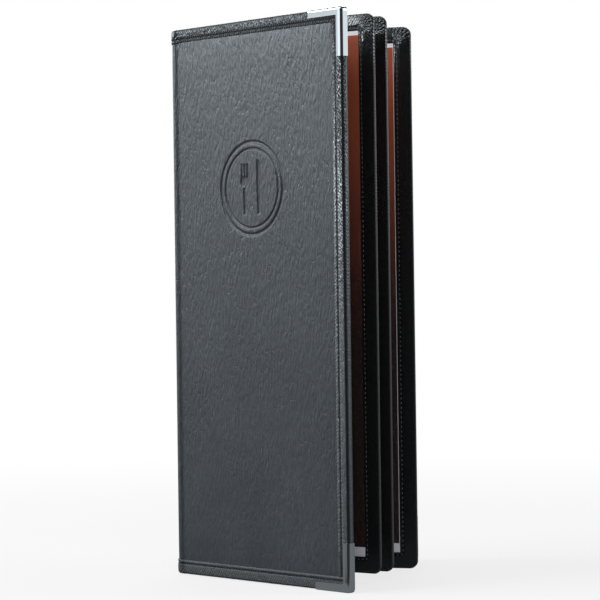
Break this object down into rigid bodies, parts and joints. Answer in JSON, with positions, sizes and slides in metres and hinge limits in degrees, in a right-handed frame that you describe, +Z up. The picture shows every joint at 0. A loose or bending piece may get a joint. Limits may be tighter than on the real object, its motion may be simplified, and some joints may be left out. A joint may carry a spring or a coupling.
{
  "type": "menu style guest check presenter",
  "caption": "Tall sewn leatherette booklet with stiff covers, metal corners and clear pocket leaves that fan on a spine strip.",
  "frame": {"origin": "centre of the standing footprint, on the surface that the booklet stands on", "axes": "+Z up along the spine, spine at -X, covers fan open symmetrically about +X, front cover towards -Y"},
  "size_m": [0.1352, 0.166, 0.3042],
  "materials": {
    "skin": "black crinkle-grain leatherette, satin",
    "edging": "black pebble-grain leatherette strip, satin, sewn",
    "lining": "black leatherette lining, matt",
    "board": "grey binder's board, hidden inside the cover",
    "metal": "bent sheet metal, bright nickel",
    "window": "clear flexible vinyl",
    "card": "printed card, matt",
    "divider": "black sheet, matt"
  },
  "bodies": {
    "spine": {"spine_liner": "lining", "spine_skin": "skin", "spine_bottom_strip": "edging", "spine_top_strip": "edging", "leaf_a_hinge_tape": "edging", "leaf_b_hinge_tape": "edging", "leaf_c_hinge_tape": "edging"},
    "front_cover": {"front_cover_board": "board", "front_cover_skin": "skin", "front_cover_liner": "lining", "front_cover_top_strip": "edging", "front_cover_bottom_strip": "edging", "front_cover_fore_strip": "edging", "front_cover_top_corner": "metal", "front_cover_bottom_corner": "metal"},
    "back_cover": {"back_cover_board": "board", "back_cover_skin": "skin", "back_cover_liner": "lining", "back_cover_top_strip": "edging", "back_cover_bottom_strip": "edging", "back_cover_fore_strip": "edging", "back_cover_top_corner": "metal", "back_cover_bottom_corner": "metal"},
    "leaf_a": {"leaf_a_divider": "divider", "leaf_a_front_window": "window", "leaf_a_back_window": "window", "leaf_a_front_top_strip": "edging", "leaf_a_back_top_strip": "edging", "leaf_a_edge_strip": "edging", "leaf_a_hinge_strip": "edging"},
    "leaf_b": {"leaf_b_divider": "divider", "leaf_b_front_window": "window", "leaf_b_back_window": "window", "leaf_b_front_top_strip": "edging", "leaf_b_back_top_strip": "edging", "leaf_b_edge_strip": "edging", "leaf_b_hinge_strip": "edging"},
    "leaf_c": {"leaf_c_divider": "divider", "leaf_c_front_window": "window", "leaf_c_back_window": "window", "leaf_c_front_top_strip": "edging", "leaf_c_back_top_strip": "edging", "leaf_c_edge_strip": "edging", "leaf_c_hinge_strip": "edging"},
    "leaf_a_front_card": {"leaf_a_front_card": "card"},
    "leaf_a_back_card": {"leaf_a_back_card": "card"},
    "leaf_b_front_card": {"leaf_b_front_card": "card"},
    "leaf_b_back_card": {"leaf_b_back_card": "card"},
    "leaf_c_front_card": {"leaf_c_front_card": "card"},
    "leaf_c_back_card": {"leaf_c_back_card": "card"}
  },
  "joints": [
    {"name": "front_cover_fold", "type": "hinge", "parent": "spine", "child": "front_cover", "pos_m": [-0.06345, -0.00685, 0.15], "axis": [0, 0, -1], "range_deg": [-33.3, 56.7]},
    {"name": "back_cover_fold", "type": "hinge", "parent": "spine", "child": "back_cover", "pos_m": [-0.06345, 0.00685, 0.15], "axis": [0, 0, 1], "range_deg": [-33.3, 56.7]},
    {"name": "leaf_a_turn", "type": "hinge", "parent": "spine", "child": "leaf_a", "pos_m": [-0.06145, -0.0029, 0.15], "axis": [0, 0, -1], "range_deg": [-21.71, 36.96]},
    {"name": "leaf_b_turn", "type": "hinge", "parent": "spine", "child": "leaf_b", "pos_m": [-0.06145, 0, 0.15], "axis": [0, 0, -1], "range_deg": [-16.71, 28.45]},
    {"name": "leaf_c_turn", "type": "hinge", "parent": "spine", "child": "leaf_c", "pos_m": [-0.06145, 0.0029, 0.15], "axis": [0, 0, -1], "range_deg": [-1.21, 2.05]},
    {"name": "leaf_a_front_card_slide", "type": "slide", "parent": "leaf_a", "child": "leaf_a_front_card", "axis": [0, 0, 1], "range_m": [0, 0.285]},
    {"name": "leaf_a_back_card_slide", "type": "slide", "parent": "leaf_a", "child": "leaf_a_back_card", "axis": [0, 0, 1], "range_m": [0, 0.285]},
    {"name": "leaf_b_front_card_slide", "type": "slide", "parent": "leaf_b", "child": "leaf_b_front_card", "axis": [0, 0, 1], "range_m": [0, 0.285]},
    {"name": "leaf_b_back_card_slide", "type": "slide", "parent": "leaf_b", "child": "leaf_b_back_card", "axis": [0, 0, 1], "range_m": [0, 0.285]},
    {"name": "leaf_c_front_card_slide", "type": "slide", "parent": "leaf_c", "child": "leaf_c_front_card", "axis": [0, 0, 1], "range_m": [0, 0.285]},
    {"name": "leaf_c_back_card_slide", "type": "slide", "parent": "leaf_c", "child": "leaf_c_back_card", "axis": [0, 0, 1], "range_m": [0, 0.285]}
  ],
  "couplings": [
    {"joint": "leaf_a_turn", "follows": "front_cover_fold", "ratio": 0.65165},
    {"joint": "leaf_b_turn", "follows": "front_cover_fold", "ratio": 0.5015},
    {"joint": "leaf_c_turn", "follows": "front_cover_fold", "ratio": 0.03604}
  ]
}
